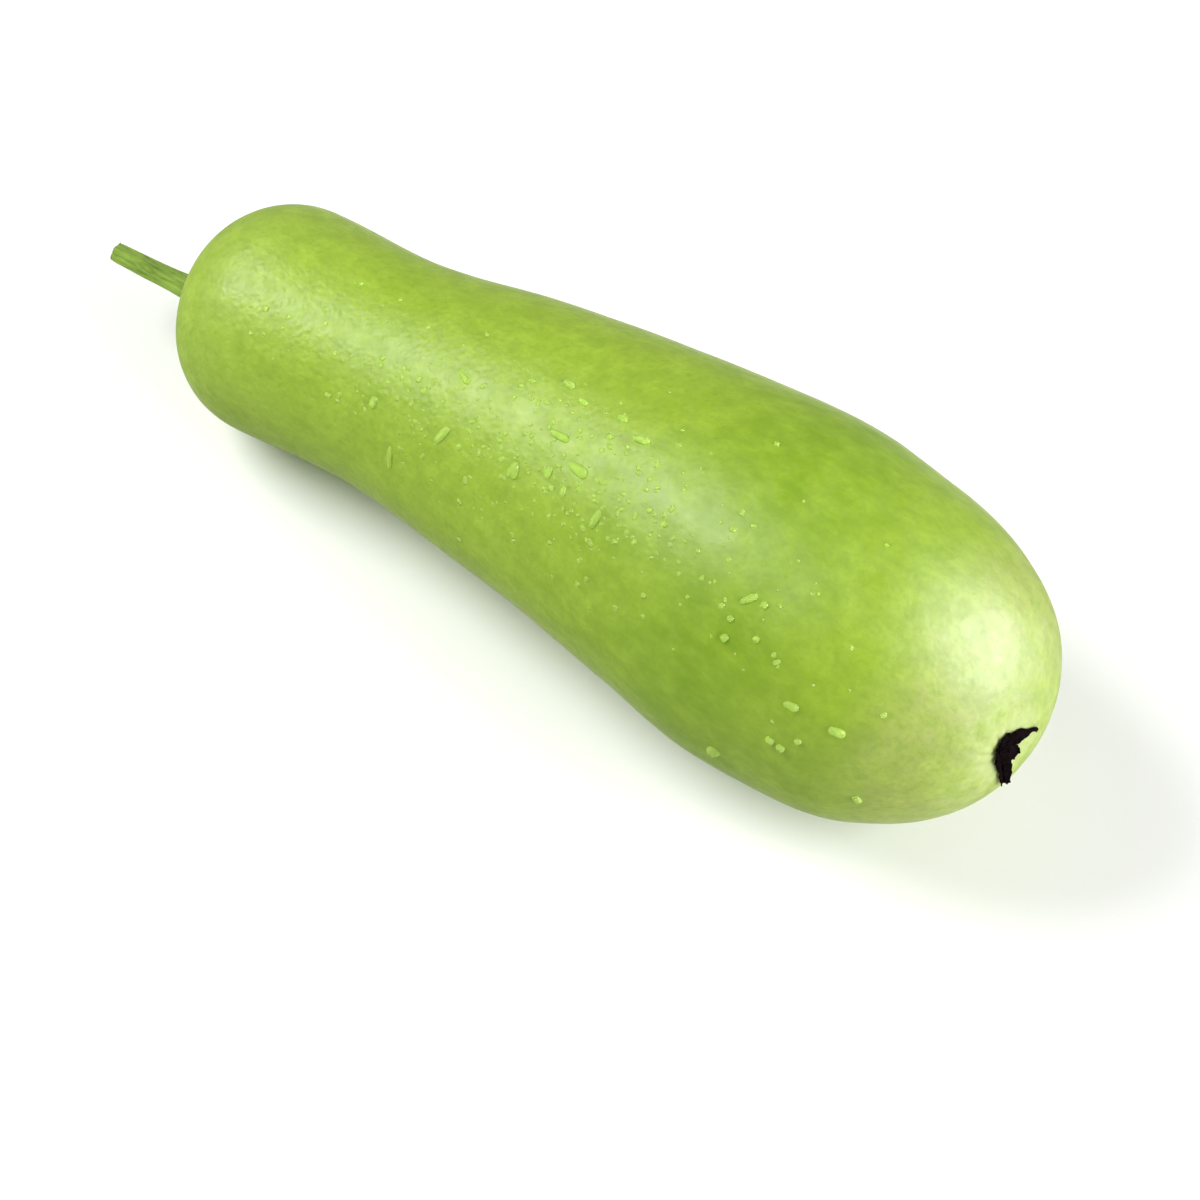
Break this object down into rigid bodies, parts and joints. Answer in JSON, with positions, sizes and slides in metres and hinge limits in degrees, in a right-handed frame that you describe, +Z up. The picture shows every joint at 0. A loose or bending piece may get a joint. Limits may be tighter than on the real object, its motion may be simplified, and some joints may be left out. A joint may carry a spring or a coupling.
{
  "type": "bottle gourd",
  "caption": "Picked bottle gourd lying on its side: pale green fruit with a narrow neck and a fat belly, a short cut stem and a black dried flower.",
  "frame": {"origin": "middle of the ground that the whole part covers, on the surface it lies on", "axes": "+X along the fruit from the stem to the dried flower, +Z up from the surface it lies on"},
  "size_m": [0.354, 0.1146, 0.114],
  "materials": {
    "skin": "satin",
    "stem": "matte",
    "dried_blossom": "matte"
  },
  "bodies": {
    "root": {"gourd_fruit": "skin", "stem": "stem", "dried_blossom": "dried_blossom"}
  },
  "joints": []
}
